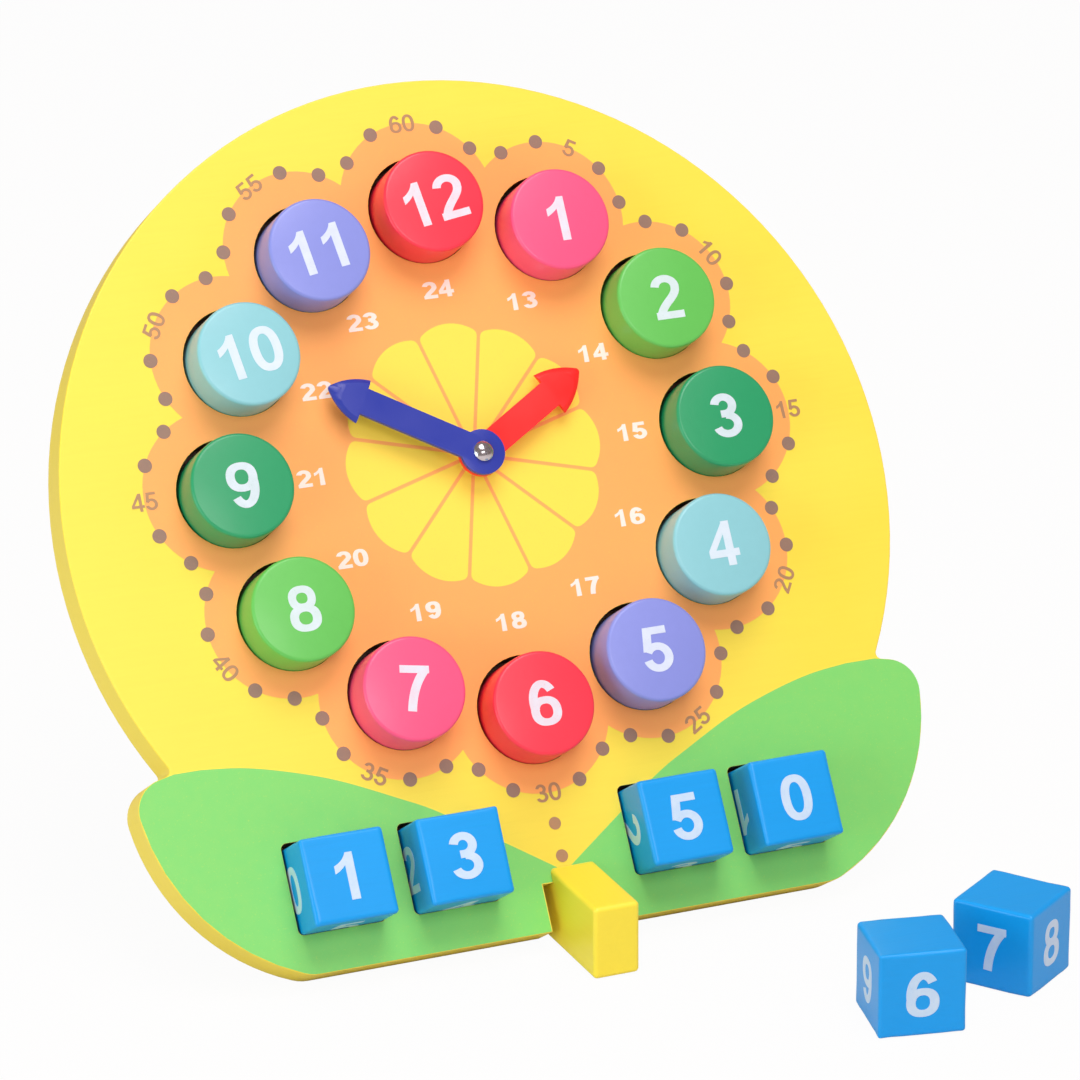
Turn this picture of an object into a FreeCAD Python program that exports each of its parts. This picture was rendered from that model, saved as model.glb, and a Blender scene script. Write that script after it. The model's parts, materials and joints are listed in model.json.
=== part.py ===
import FreeCAD, Part
import math
import os

from FreeCAD import Placement, Rotation, Vector

# Geared teaching clock for a table top, in millimetres.
# Two frames are used. The board frame has its origin at the dial centre on the front face,
# x to the right, y up along the board and z out of the face. The part frame has +Z up and its
# origin on the table straight below the dial centre, with the dial facing -Y.

# Board
lean_angle = 31.6            # degrees that the board leans back from upright
face_radius = 145.1          # the round of the dial board, which just touches the flat bottom
bottom_drop = 160.5          # flat bottom edge below the dial centre
board_offset = 0.8           # middle of the outline, right of the dial centre
drilled_drop = 1.2           # ring of disc holes and centre bore below the dial centre
face_board_thick = 12.0      # drilled front board
back_board_thick = 3.0       # closed back board
board_face_round = 0.5       # front edge
board_edge_round = 1.2       # back edge
cut_over = 1.0               # how far a cutting tool runs past the faces that it opens

# Leaf shaped ends, the right one; the left one mirrors it
leaf_radius = 70.5
leaf_overhang = 14.4         # leaf's outer side beyond the foot of its top edge
leaf_bottom_cut = 4.2        # cut off the leaf's arc by the flat bottom
leaf_top_drop = 89.0         # where the leaf's top edge leaves the round
leaf_top_fall = 12.0         # degrees that the top edge falls outwards
leaf_tip_round = 11.0
leaf_neck_round = 2.0
leaf_foot_round = 14.0       # where the leaf's outer side runs into the flat bottom

# Hour discs in their round holes
hour_count = 12
disc_ring_inset = 59.2       # the ring's radius is this much less than the round's
disc_radius = 17.5
disc_height = 26.0
disc_edge_bevel = 1.0
disc_hole_radius = 18.4

# Number cubes in their square holes, and on the table
cube_size = 28.5
cube_edge_bevel = 0.8
cube_hole_size = 30.2
cube_hole_corner_round = 2.0
cube_row_rise = 28.3         # hole centres above the flat bottom
cube_inner_offset = 39.0     # from the centre line
cube_outer_offset = 79.0
spare_cube_places = [(74.9, -175.5, -11.9), (119.3, -159.4, 35.3)]   # x, y, degrees of turn

# Foot, a bar set on edge across the board, with a brace up the back of it
foot_width = 16.0
foot_offset = 2.8            # middle of the bar, right of the centre line
foot_front_reach = 109.5     # front end ahead of the dial centre
foot_rear_reach = 50.0       # rear end behind the dial centre
foot_front_height = 24.9
foot_rear_height = 15.0
foot_edge_round = 1.5
brace_height = 66.0
brace_land = 15.0            # flat top behind the board
brace_round = 12.0
brace_foot_round = 6.0
notch_width = 19.8           # notch in the board's bottom edge that straddles the foot
notch_offset = 1.1           # middle of the notch, right of the dial centre
notch_depth = 15.8

# Motion work: 10 into 30 teeth, then 8 into 32, so the hour wheel turns once in twelve
gear_module = 1.0
pressure_angle = 20.0
cannon_teeth = 10
minute_wheel_teeth = 30
minute_pinion_teeth = 8
hour_wheel_teeth = 32
pinion_shift = 0.5           # profile shift in modules; the wheels take as much away
pinion_addendum_ratio = 0.85 # in modules, as are the next three
wheel_addendum_ratio = 0.9
dedendum_ratio = 1.25
flank_start_ratio = 0.3      # start of a flank above the tooth root
tooth_thinning = 0.1         # taken off each tooth's thickness for backlash
wheel_face_width = 3.0
wheel_web_thick = 1.6
wheel_rim_depth = 2.6        # rim below the tooth roots
layer_gap = 0.5              # between the two layers of wheels
end_float = 0.3              # between the hour wheel and the base

# Arbor, pipe, bush and stud
arbor_radius = 2.0
arbor_square = 2.7           # square seat for the minute hand
arbor_tail = 0.8             # arbor end behind the housing
pipe_radius = 3.5
pipe_seat_radius = 3.0       # reduced end of the pipe in the hour hand
pipe_flat_width = 5.2        # across the two flats of that end
bush_radius = 4.6
bush_flange_radius = 5.5
bush_flange_thick = 4.4
bush_flange_bevel = 0.5
stud_radius = 1.5
stud_seat_depth = 0.6        # blind seat of the stud's end in the cover's boss
wheel_hub_radius = 4.6
running_clearance = 0.05
seat_clearance = 0.02
washer_radius = 4.5
washer_thick = 0.3
washer_dish = 0.14
washer_play = 0.03           # washer above the pinion

# Gear housing
housing_wall = 2.0
housing_gap = 1.5            # inside wall from the hour wheel's teeth
housing_base_thick = 2.0
housing_flange_thick = 2.0
housing_flange_margin = 2.0  # flange beyond the housing wall
housing_corner_round = 5.0
housing_edge_round = 1.5
lip_thick = 0.9
lip_height = 1.2
lip_clearance = 0.1
boss_radius = 4.4
boss_height = 1.2
pipe_hole_clearance = 0.3

# Screws
housing_screw_radius = 1.25
housing_screw_depth = 7.0    # into the boards
housing_screw_head_radius = 2.7
housing_screw_head_height = 1.7
housing_screw_head_bevel = 0.8
housing_screw_inset = 4.5    # from the flange's edges
housing_screw_hole_radius = 1.5
hand_screw_radius = 0.95
hand_screw_length = 7.0
hand_screw_head_radius = 3.4
hand_screw_head_height = 2.3
screw_head_rim_ratio = 0.35  # upright rim of a domed head, as a share of its height
screw_recess_width = 0.8
screw_recess_reach = 1.75    # half length of each groove
screw_recess_depth = 1.0

# Hands
hand_thick = 1.7
hand_edge_bevel = 0.6
hour_hand_rise = 0.6         # above the bush
hands_gap = 0.3              # hour hand to minute hand
hand_hub_radius = 7.7
minute_hand_length = 56.0
minute_hand_arm_width = 9.2
minute_hand_head = (15.0, 12.7)      # across the barbs, and from barbs to tip
minute_hand_angle = -58.9    # degrees clockwise from twelve
hour_hand_length = 47.2
hour_hand_arm_width = 9.7
hour_hand_head = (16.4, 13.9)
hour_hand_angle = 60.0
hand_head_side_radius = 22.0
hand_tip_radius = 1.3
hand_arm_overlap = 1.4       # arm's end inside the arrow head

# Fits between loose pieces
seat_gap = 0.15              # a loose piece above what it rests on
slot_clearance = 0.15        # foot slot on each side of the board

# Places that follow from the sizes
lean = math.radians(lean_angle)
board_thick = face_board_thick + back_board_thick
face_drop = bottom_drop - face_radius
leaf_centre_drop = bottom_drop - leaf_radius + leaf_bottom_cut
disc_ring_radius = face_radius - disc_ring_inset
gear_centres = gear_module * (cannon_teeth + minute_wheel_teeth) / 2
dial_height = ((bottom_drop - board_edge_round) * math.cos(lean)
               + (board_thick - board_edge_round) * math.sin(lean) + board_edge_round)
board_place = Placement(Vector(0, 0, dial_height), Rotation(Vector(1, 0, 0), 90 - lean_angle))

# Levels along the board frame's z
base_level = -board_thick - housing_base_thick
hour_wheel_front = base_level - end_float
hour_wheel_back = hour_wheel_front - wheel_face_width
minute_wheel_front = hour_wheel_back - layer_gap
minute_wheel_back = minute_wheel_front - wheel_face_width
cover_inside = minute_wheel_back - layer_gap
cover_back = cover_inside - housing_wall
arbor_back = cover_back - boss_height - arbor_tail
hour_hand_level = bush_flange_thick + hour_hand_rise
minute_hand_level = hour_hand_level + hand_thick + hands_gap
hand_screw_level = minute_hand_level + hand_thick
housing_inner_radius = (gear_module * (hour_wheel_teeth / 2 - pinion_shift + wheel_addendum_ratio)
                        + housing_gap)
housing_outer_radius = housing_inner_radius + housing_wall
flange_half_width = housing_outer_radius + housing_flange_margin
flange_half_length = flange_half_width + gear_centres / 2
housing_middle = -gear_centres / 2


def unit(vector):
    return Vector(vector).normalize()


def cylinder(radius, low, high, x=0.0, y=0.0):
    return Part.makeCylinder(radius, high - low, Vector(x, y, low))


def ring(outer, inner, low, high, x=0.0, y=0.0):
    hole = cylinder(inner, low - cut_over, high + cut_over, x, y)
    return cylinder(outer, low, high, x, y).cut(hole)


def block(x0, x1, y0, y1, z0, z1):
    return Part.makeBox(x1 - x0, y1 - y0, z1 - z0, Vector(x0, y0, z0))


def short_arc(centre, radius, start, end):
    # the arc of less than half a turn between two points of a circle
    middle = centre + unit(unit(start - centre) + unit(end - centre)) * radius
    return Part.Arc(start, middle, end).toShape()


def line(start, end):
    return Part.LineSegment(start, end).toShape()


def solid_from(edges, height):
    wire = Part.Wire(Part.__sortEdges__(edges))
    return Part.Face(wire).extrude(Vector(0, 0, height))


def rounded_polygon(points, radii):
    # closed outline with a tangent arc of its own radius at each corner
    edges = []
    starts = []
    ends = []
    for index, corner in enumerate(points):
        before = unit(points[index - 1] - corner)
        after = unit(points[(index + 1) % len(points)] - corner)
        half = before.getAngle(after) / 2
        reach = radii[index] / math.tan(half)
        starts.append(corner + before * reach)
        ends.append(corner + after * reach)
        if radii[index] > 0:
            centre = corner + unit(before + after) * (radii[index] / math.sin(half))
            edges.append(short_arc(centre, radii[index], starts[-1], ends[-1]))
    for index in range(len(points)):
        edges.append(line(ends[index], starts[(index + 1) % len(points)]))
    return edges


def rounded_box(half_width, half_length, middle_y, low, high, radius):
    corners = [Vector(-half_width, middle_y - half_length, low),
               Vector(half_width, middle_y - half_length, low),
               Vector(half_width, middle_y + half_length, low),
               Vector(-half_width, middle_y + half_length, low)]
    return solid_from(rounded_polygon(corners, [radius] * 4), high - low)


def edges_at(shape, level):
    return [edge for edge in shape.Edges
            if all(abs(vertex.Z - level) < 1e-6 for vertex in edge.Vertexes)]


def reach_along(base, direction, centre, distance):
    # how far along a line from base the given distance from centre is reached last
    offset = base - centre
    along = offset.dot(direction)
    return -along + math.sqrt(along ** 2 - offset.dot(offset) + distance ** 2)


# Board

def right_leaf_edges():
    # from the round's edge, by the neck, the top edge and the tip, to the flat bottom
    round_centre = Vector(0, -face_drop, 0)
    fall = math.radians(leaf_top_fall)
    outward = Vector(math.cos(fall), -math.sin(fall), 0)
    upward = Vector(math.sin(fall), math.cos(fall), 0)
    neck_rise = leaf_top_drop - face_drop
    join = Vector(math.sqrt(face_radius ** 2 - neck_rise ** 2), -leaf_top_drop, 0)
    leaf_centre = Vector(join.x + leaf_overhang - leaf_radius, -leaf_centre_drop, 0)

    neck_base = join + upward * leaf_neck_round
    neck_reach = reach_along(neck_base, outward, round_centre, face_radius + leaf_neck_round)
    neck_centre = neck_base + outward * neck_reach
    neck_start = round_centre + unit(neck_centre - round_centre) * face_radius
    neck_end = neck_centre - upward * leaf_neck_round

    tip_base = join - upward * leaf_tip_round
    tip_reach = reach_along(tip_base, outward, leaf_centre, leaf_radius - leaf_tip_round)
    tip_centre = tip_base + outward * tip_reach
    tip_start = tip_centre + upward * leaf_tip_round
    tip_end = leaf_centre + unit(tip_centre - leaf_centre) * leaf_radius

    foot_rise = bottom_drop - leaf_foot_round - leaf_centre_drop
    foot_span = math.sqrt((leaf_radius - leaf_foot_round) ** 2 - foot_rise ** 2)
    foot_centre = leaf_centre + Vector(foot_span, -foot_rise, 0)
    foot_start = leaf_centre + unit(foot_centre - leaf_centre) * leaf_radius
    foot_end = foot_centre - Vector(0, leaf_foot_round, 0)
    edges = [short_arc(neck_centre, leaf_neck_round, neck_start, neck_end),
             line(neck_end, tip_start),
             short_arc(tip_centre, leaf_tip_round, tip_start, tip_end),
             short_arc(leaf_centre, leaf_radius, tip_end, foot_start),
             short_arc(foot_centre, leaf_foot_round, foot_start, foot_end)]
    return edges, neck_start, foot_end


def mirrored(point):
    return Vector(-point.x, point.y, point.z)


def board_blank(low, high):
    right, neck, foot_end = right_leaf_edges()
    left = [edge.mirror(Vector(0, 0, 0), Vector(1, 0, 0)) for edge in right]
    crown = Part.Arc(neck, Vector(0, face_radius - face_drop, 0), mirrored(neck)).toShape()
    bottom = line(foot_end, mirrored(foot_end))
    blank = solid_from(right + left + [crown, bottom], high - low)
    blank.translate(Vector(board_offset, 0, low))
    return blank


def foot_notch():
    half = notch_width / 2
    top = notch_depth - bottom_drop
    bottom = -bottom_drop - notch_depth
    corners = [Vector(-half, bottom, 0), Vector(half, bottom, 0),
               Vector(half, top, 0), Vector(-half, top, 0)]
    notch = solid_from(rounded_polygon(corners, [0] * 4), board_thick + 2 * cut_over)
    notch.translate(Vector(notch_offset, 0, -board_thick - cut_over))
    return notch


def housing_screw_places():
    x = flange_half_width - housing_screw_inset
    y = flange_half_length - housing_screw_inset
    return [(sx * x, housing_middle + sy * y) for sx in (-1, 1) for sy in (-1, 1)]


def hour_angle(hour):
    return math.radians(360.0 / hour_count * hour)


def disc_hole_centre(hour):
    return Vector(disc_ring_radius * math.sin(hour_angle(hour)),
                  disc_ring_radius * math.cos(hour_angle(hour)) - drilled_drop, 0)


def cube_hole_centres():
    return [Vector(x, cube_row_rise - bottom_drop, 0) for x in
            (-cube_outer_offset, -cube_inner_offset, cube_inner_offset, cube_outer_offset)]


def board_bores(low, high):
    # the bush's bore and the screws' pilot holes
    bores = [cylinder(bush_radius + seat_clearance, low, high, 0, -drilled_drop)]
    for x, y in housing_screw_places():
        pilot_front = -board_thick + housing_screw_depth + seat_clearance
        pilot = cylinder(housing_screw_radius + seat_clearance, -board_thick - cut_over,
                         pilot_front, x, y - drilled_drop)
        bores.append(pilot)
    return bores


def face_board():
    board = board_blank(-face_board_thick, 0)
    board = board.makeFillet(board_face_round, edges_at(board, 0))
    low = -face_board_thick - cut_over
    cuts = [foot_notch()]
    for hour in range(1, hour_count + 1):
        centre = disc_hole_centre(hour)
        cuts.append(cylinder(disc_hole_radius, low, cut_over, centre.x, centre.y))
    for centre in cube_hole_centres():
        hole = rounded_box(cube_hole_size / 2, cube_hole_size / 2, centre.y, low, cut_over,
                           cube_hole_corner_round)
        hole.translate(Vector(centre.x, 0, 0))
        cuts.append(hole)
    return board.cut(cuts + board_bores(low, cut_over))


def back_board():
    board = board_blank(-board_thick, -face_board_thick)
    board = board.makeFillet(board_edge_round, edges_at(board, -board_thick))
    bores = board_bores(-board_thick - cut_over, -face_board_thick + cut_over)
    return board.cut([foot_notch()] + bores)


# Loose discs and cubes, shown resting on the lower side of their holes

def hour_disc(hour):
    centre = disc_hole_centre(hour)
    sag = disc_hole_radius - disc_radius - seat_gap
    low = seat_gap - face_board_thick
    disc = cylinder(disc_radius, low, low + disc_height, centre.x, centre.y - sag)
    rims = edges_at(disc, low + disc_height) + edges_at(disc, low)
    return disc.makeChamfer(disc_edge_bevel, rims)


def number_cube():
    half = cube_size / 2
    cube = block(-half, half, -half, half, 0, cube_size)
    return cube.makeChamfer(cube_edge_bevel, cube.Edges)


def board_cube(centre):
    cube = number_cube()
    sag = (cube_hole_size - cube_size) / 2 - seat_gap
    cube.translate(Vector(centre.x, centre.y - sag, seat_gap - face_board_thick))
    return cube


def spare_cube(place):
    x, y, turn = place
    cube = number_cube()
    cube.rotate(Vector(0, 0, 0), Vector(0, 0, 1), turn)
    cube.translate(Vector(x, y, 0))
    return cube


# Foot

def on_board(y, z):
    # a point of the board's middle plane, given in the board frame, in the part frame
    return board_place.multVec(Vector(0, y, z))


def brace_line(height):
    # the point of the board's mid thickness at this height above the table
    y = (height - dial_height + board_thick / 2 * math.sin(lean)) / math.cos(lean)
    return on_board(y, -board_thick / 2)


def foot():
    shoulder = brace_line(foot_front_height)
    crest = brace_line(brace_height)
    rear_face = board_thick / 2 / math.cos(lean)
    corners = [Vector(0, -foot_front_reach, 0),
               Vector(0, -foot_front_reach, foot_front_height),
               Vector(0, shoulder.y, foot_front_height),
               Vector(0, crest.y, brace_height),
               Vector(0, crest.y + rear_face + brace_land, brace_height),
               Vector(0, foot_rear_reach, foot_rear_height),
               Vector(0, foot_rear_reach, 0)]
    radii = [foot_edge_round, foot_edge_round, 0, 0, brace_round, brace_foot_round, foot_edge_round]
    wire = Part.Wire(Part.__sortEdges__(rounded_polygon(corners, radii)))
    bar = Part.Face(wire).extrude(Vector(foot_width, 0, 0))
    side_edges = [edge for edge in bar.Edges
                  if all(abs(vertex.X) < 1e-6 for vertex in edge.Vertexes)
                  or all(abs(vertex.X - foot_width) < 1e-6 for vertex in edge.Vertexes)]
    bar = bar.makeFillet(foot_edge_round, side_edges)
    bar.translate(Vector(foot_offset - foot_width / 2, 0, 0))
    slot_floor = notch_depth - bottom_drop - seat_gap
    slot = block(-foot_width, 2 * foot_width, slot_floor, slot_floor + 2 * brace_height,
                 -board_thick - slot_clearance, slot_clearance)
    slot.Placement = board_place
    return bar.cut(slot)


# Gears

def involute(angle):
    return math.tan(angle) - angle


def gear(teeth, shift, addendum, low, high, tooth_at):
    # spur gear about z with one tooth centred on the direction tooth_at, in radians; each
    # flank is an arc through three points of the involute and each root is one full round
    pitch_radius = gear_module * teeth / 2
    pressure = math.radians(pressure_angle)
    base_radius = pitch_radius * math.cos(pressure)
    tip_radius = pitch_radius + gear_module * (shift + addendum)
    root_radius = pitch_radius + gear_module * (shift - dedendum_ratio)
    start_radius = max(base_radius, root_radius + gear_module * flank_start_ratio)
    thickness = gear_module * (math.pi / 2 + 2 * shift * math.tan(pressure)) - tooth_thinning
    base_half = thickness / 2 / pitch_radius + involute(pressure)

    def half_angle(radius):
        return base_half - involute(math.acos(min(1.0, base_radius / radius)))

    def point(radius, angle):
        return Vector(radius * math.cos(angle), radius * math.sin(angle), low)

    flank_radii = [start_radius, (start_radius + tip_radius) / 2, tip_radius]
    pitch = 2 * math.pi / teeth
    edges = []
    for tooth in range(teeth):
        middle = tooth_at + tooth * pitch
        right = [point(radius, middle - half_angle(radius)) for radius in flank_radii]
        left = [point(radius, middle + half_angle(radius)) for radius in flank_radii]
        following = point(start_radius, middle + pitch - half_angle(start_radius))
        edges.append(Part.Arc(*right).toShape())
        edges.append(Part.Arc(right[2], point(tip_radius, middle), left[2]).toShape())
        edges.append(Part.Arc(*left).toShape())
        edges.append(Part.Arc(left[0], point(root_radius, middle + pitch / 2), following).toShape())
    return solid_from(edges, high - low)


def wheel(teeth, low, high, tooth_at):
    # large gear with its web set in from the back, between the rim and the hub
    blank = gear(teeth, -pinion_shift, wheel_addendum_ratio, low, high, tooth_at)
    root_radius = gear_module * (teeth / 2 - pinion_shift - dedendum_ratio)
    pocket = ring(root_radius - wheel_rim_depth, wheel_hub_radius, low - cut_over,
                  high - wheel_web_thick)
    return blank.cut(pocket)


def pinion(teeth, low, high, tooth_at):
    return gear(teeth, pinion_shift, pinion_addendum_ratio, low, high, tooth_at)


def minute_wheel():
    # turns on the stud, straight below the dial centre; a gap faces the cannon pinion
    up = math.pi / 2
    large = wheel(minute_wheel_teeth, minute_wheel_back, minute_wheel_front,
                  up + math.pi / minute_wheel_teeth)
    small = pinion(minute_pinion_teeth, minute_wheel_front, hour_wheel_front, up)
    bore = cylinder(stud_radius + running_clearance, minute_wheel_back - cut_over,
                    hour_wheel_front + cut_over)
    compound = large.fuse(small).cut(bore)
    compound.translate(Vector(0, -gear_centres, 0))
    return compound


def hour_wheel():
    # wheel and pipe in one moulding; a gap faces the minute pinion
    down = -math.pi / 2
    disc = wheel(hour_wheel_teeth, hour_wheel_back, hour_wheel_front,
                 down + math.pi / hour_wheel_teeth)
    pipe = cylinder(pipe_radius, hour_wheel_front, hour_hand_level)
    seat_top = hour_hand_level + hand_thick - seat_clearance
    seat = cylinder(pipe_seat_radius, hour_hand_level, seat_top)
    flats = block(-pipe_seat_radius, pipe_seat_radius, -pipe_flat_width / 2, pipe_flat_width / 2,
                  hour_hand_level, seat_top)
    bore = cylinder(arbor_radius + running_clearance, hour_wheel_back - cut_over,
                    seat_top + cut_over)
    seat = seat.common(flats)
    seat.rotate(Vector(0, 0, 0), Vector(0, 0, 1), -hour_hand_angle)
    return disc.fuse([pipe, seat]).cut(bore)


def minute_arbor():
    down = -math.pi / 2
    rod = cylinder(arbor_radius, arbor_back, minute_hand_level)
    half = arbor_square / 2
    square = block(-half, half, -half, half, minute_hand_level,
                   hand_screw_level - seat_clearance)
    square.rotate(Vector(0, 0, 0), Vector(0, 0, 1), -minute_hand_angle)
    teeth = pinion(cannon_teeth, minute_wheel_back, minute_wheel_front, down)
    tapped = cylinder(hand_screw_radius + seat_clearance,
                      hand_screw_level - hand_screw_length - cut_over, hand_screw_level)
    return rod.fuse([square, teeth]).cut(tapped)


def wheel_stud():
    # pressed into the base, with its end in a blind seat of the cover
    return cylinder(stud_radius, cover_back - stud_seat_depth, -board_thick - seat_clearance,
                    0, -gear_centres)


def friction_washer():
    # dished ring between the cannon pinion and the cover
    inner = arbor_radius + running_clearance
    low = minute_wheel_back - washer_play
    points = [Vector(inner, 0, low), Vector(washer_radius, 0, low - washer_dish),
              Vector(washer_radius, 0, low - washer_dish - washer_thick),
              Vector(inner, 0, low - washer_thick)]
    section = Part.Face(Part.makePolygon(points + points[:1]))
    return section.revolve(Vector(0, 0, 0), Vector(0, 0, 1), 360)


def centre_bush():
    barrel = cylinder(bush_radius, -board_thick, 0)
    flange = cylinder(bush_flange_radius, 0, bush_flange_thick)
    bore = cylinder(pipe_radius + running_clearance, -board_thick - cut_over,
                    bush_flange_thick + cut_over)
    flange = flange.makeChamfer(bush_flange_bevel, edges_at(flange, bush_flange_thick))
    return barrel.fuse(flange).cut(bore)


# Gear housing

def housing_round(radius, low, high):
    # long round with its two ends about the two gear axes
    box_half = gear_centres / 2
    upper = cylinder(radius, low, high)
    lower = cylinder(radius, low, high, 0, -gear_centres)
    middle = block(-radius, radius, housing_middle - box_half, housing_middle + box_half, low, high)
    return upper.fuse([lower, middle]).removeSplitter()


def screw_holes(radius, low, high):
    return [cylinder(radius, low, high, x, y) for x, y in housing_screw_places()]


def gearbox_base():
    low = base_level
    high = -board_thick
    plate = rounded_box(flange_half_width, flange_half_length, housing_middle, low, high,
                        housing_corner_round)
    lip_radius = housing_inner_radius - lip_clearance
    lip = housing_round(lip_radius, low - lip_height, low)
    lip = lip.cut(housing_round(lip_radius - lip_thick, low - lip_height - cut_over,
                                low + cut_over))
    plate = plate.fuse(lip)
    bottom = low - cut_over
    top = high + cut_over
    pipe_hole = cylinder(pipe_radius + pipe_hole_clearance, bottom, top)
    stud_hole = cylinder(stud_radius + seat_clearance, bottom, top, 0, -gear_centres)
    holes = screw_holes(housing_screw_hole_radius, bottom, top)
    return plate.cut([pipe_hole, stud_hole] + holes)


def gearbox_cover():
    high = base_level
    flange = rounded_box(flange_half_width, flange_half_length, housing_middle,
                         high - housing_flange_thick, high, housing_corner_round)
    dome = housing_round(housing_outer_radius, cover_back, high)
    dome = dome.makeFillet(housing_edge_round, edges_at(dome, cover_back))
    bosses = [cylinder(boss_radius, cover_back - boss_height, cover_back + housing_wall / 2, 0, y)
              for y in (0, -gear_centres)]
    shell = dome.fuse([flange] + bosses)
    cavity = housing_round(housing_inner_radius, cover_inside, high + cut_over)
    arbor_hole = cylinder(arbor_radius + running_clearance, arbor_back, high)
    stud_hole = cylinder(stud_radius + seat_clearance,
                         cover_back - stud_seat_depth - seat_clearance, high, 0, -gear_centres)
    holes = screw_holes(housing_screw_hole_radius, cover_back, high + cut_over)
    return shell.cut([cavity, arbor_hole, stud_hole] + holes)


def cross_recess(top):
    # two crossed grooves in a screw head
    half = screw_recess_width / 2
    reach = screw_recess_reach
    floor = top - screw_recess_depth
    return block(-reach, reach, -half, half, floor, top).fuse(
        block(-half, half, -reach, reach, floor, top))


def domed_head(radius, height):
    # spherical cap on a short cylinder, seated on z = 0
    rim = height * screw_head_rim_ratio
    crown = height - rim
    sphere_radius = (radius ** 2 + crown ** 2) / (2 * crown)
    ball = Part.makeSphere(sphere_radius, Vector(0, 0, height - sphere_radius))
    return ball.common(cylinder(radius, 0, height))


def gearbox_screw(x, y):
    head = cylinder(housing_screw_head_radius, 0, housing_screw_head_height)
    head = head.makeChamfer(housing_screw_head_bevel, edges_at(head, housing_screw_head_height))
    grip = housing_base_thick + housing_flange_thick + housing_screw_depth
    shank = cylinder(housing_screw_radius, -grip, 0)
    screw = head.fuse(shank).cut(cross_recess(housing_screw_head_height))
    screw.rotate(Vector(0, 0, 0), Vector(1, 0, 0), 180)
    screw.translate(Vector(x, y, base_level - housing_flange_thick))
    return screw


def gearbox_screws():
    return Part.makeCompound([gearbox_screw(x, y) for x, y in housing_screw_places()])


# Hands

def arrow_head(length, head):
    # straight across the barbs, with bulging sides that run into the round tip
    head_width, head_length = head
    barb = Vector(head_width / 2, length - head_length, 0)
    tip_centre = Vector(0, length - hand_tip_radius, 0)
    side = barb - tip_centre
    reach = hand_head_side_radius - hand_tip_radius
    along = (reach ** 2 - hand_head_side_radius ** 2 + side.Length ** 2) / (2 * side.Length)
    across = math.sqrt(reach ** 2 - along ** 2)
    inward = unit(Vector(side.y, -side.x, 0))
    side_centre = tip_centre + unit(side) * along + inward * across
    tip_start = tip_centre + unit(tip_centre - side_centre) * hand_tip_radius
    blade = solid_from([
        line(mirrored(barb), barb),
        short_arc(side_centre, hand_head_side_radius, barb, tip_start),
        Part.Arc(tip_start, Vector(0, length, 0), mirrored(tip_start)).toShape(),
        short_arc(mirrored(side_centre), hand_head_side_radius,
                  mirrored(tip_start), mirrored(barb)),
    ], hand_thick)
    return blade.makeChamfer(hand_edge_bevel, edges_at(blade, hand_thick))


def hand_arm(length, width, head):
    # straight bar from the hub into the arrow head, bevelled along its two long edges
    end = length - head[1] + hand_arm_overlap
    arm = block(-width / 2, width / 2, 0, end, 0, hand_thick)
    long_edges = [edge for edge in edges_at(arm, hand_thick) if edge.Length > width + cut_over]
    return arm.makeChamfer(hand_edge_bevel, long_edges)


def hand(length, width, head, level, angle, hole):
    # arrow pointing up the board from its hub, then turned clockwise by its angle
    hub = cylinder(hand_hub_radius, 0, hand_thick)
    hub = hub.makeChamfer(hand_edge_bevel, edges_at(hub, hand_thick))
    blade = hub.fuse([hand_arm(length, width, head), arrow_head(length, head)]).cut(hole)
    blade.translate(Vector(0, 0, level))
    blade.rotate(Vector(0, 0, 0), Vector(0, 0, 1), -angle)
    return blade


def hour_hand():
    radius = pipe_seat_radius + seat_clearance
    half_flat = pipe_flat_width / 2 + seat_clearance
    hole = cylinder(radius, 0, hand_thick)
    hole = hole.common(block(-radius, radius, -half_flat, half_flat, 0, hand_thick))
    return hand(hour_hand_length, hour_hand_arm_width, hour_hand_head, hour_hand_level,
                hour_hand_angle, hole)


def minute_hand():
    half = arbor_square / 2 + seat_clearance
    hole = block(-half, half, -half, half, 0, hand_thick)
    return hand(minute_hand_length, minute_hand_arm_width, minute_hand_head, minute_hand_level,
                minute_hand_angle, hole)


def hand_screw():
    head = domed_head(hand_screw_head_radius, hand_screw_head_height)
    shank = cylinder(hand_screw_radius, -hand_screw_length, 0)
    screw = head.fuse(shank).cut(cross_recess(hand_screw_head_height))
    screw.translate(Vector(0, 0, hand_screw_level))
    return screw


def works_pieces():
    # everything about the centre bore, by node name
    return {
        "centre_bush": centre_bush(),
        "gearbox_base": gearbox_base(),
        "gearbox_cover": gearbox_cover(),
        "gearbox_screws": gearbox_screws(),
        "wheel_stud": wheel_stud(),
        "friction_washer": friction_washer(),
        "minute_arbor": minute_arbor(),
        "minute_wheel": minute_wheel(),
        "hour_wheel": hour_wheel(),
        "hour_hand": hour_hand(),
        "minute_hand": minute_hand(),
        "hand_screw": hand_screw(),
    }


def board_pieces():
    # everything that leans with the board, by node name
    pieces = works_pieces()
    for shape in pieces.values():
        shape.translate(Vector(0, -drilled_drop, 0))
    pieces["face_board"] = face_board()
    pieces["back_board"] = back_board()
    for hour in range(1, hour_count + 1):
        pieces["hour_disc_%02d" % hour] = hour_disc(hour)
    for number, centre in enumerate(cube_hole_centres(), 1):
        pieces["board_cube_%d" % number] = board_cube(centre)
    return pieces


def table_pieces():
    # everything that stands on the table
    pieces = {"foot": foot()}
    for number, place in enumerate(spare_cube_places, 1):
        pieces["spare_cube_%d" % number] = spare_cube(place)
    return pieces


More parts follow.
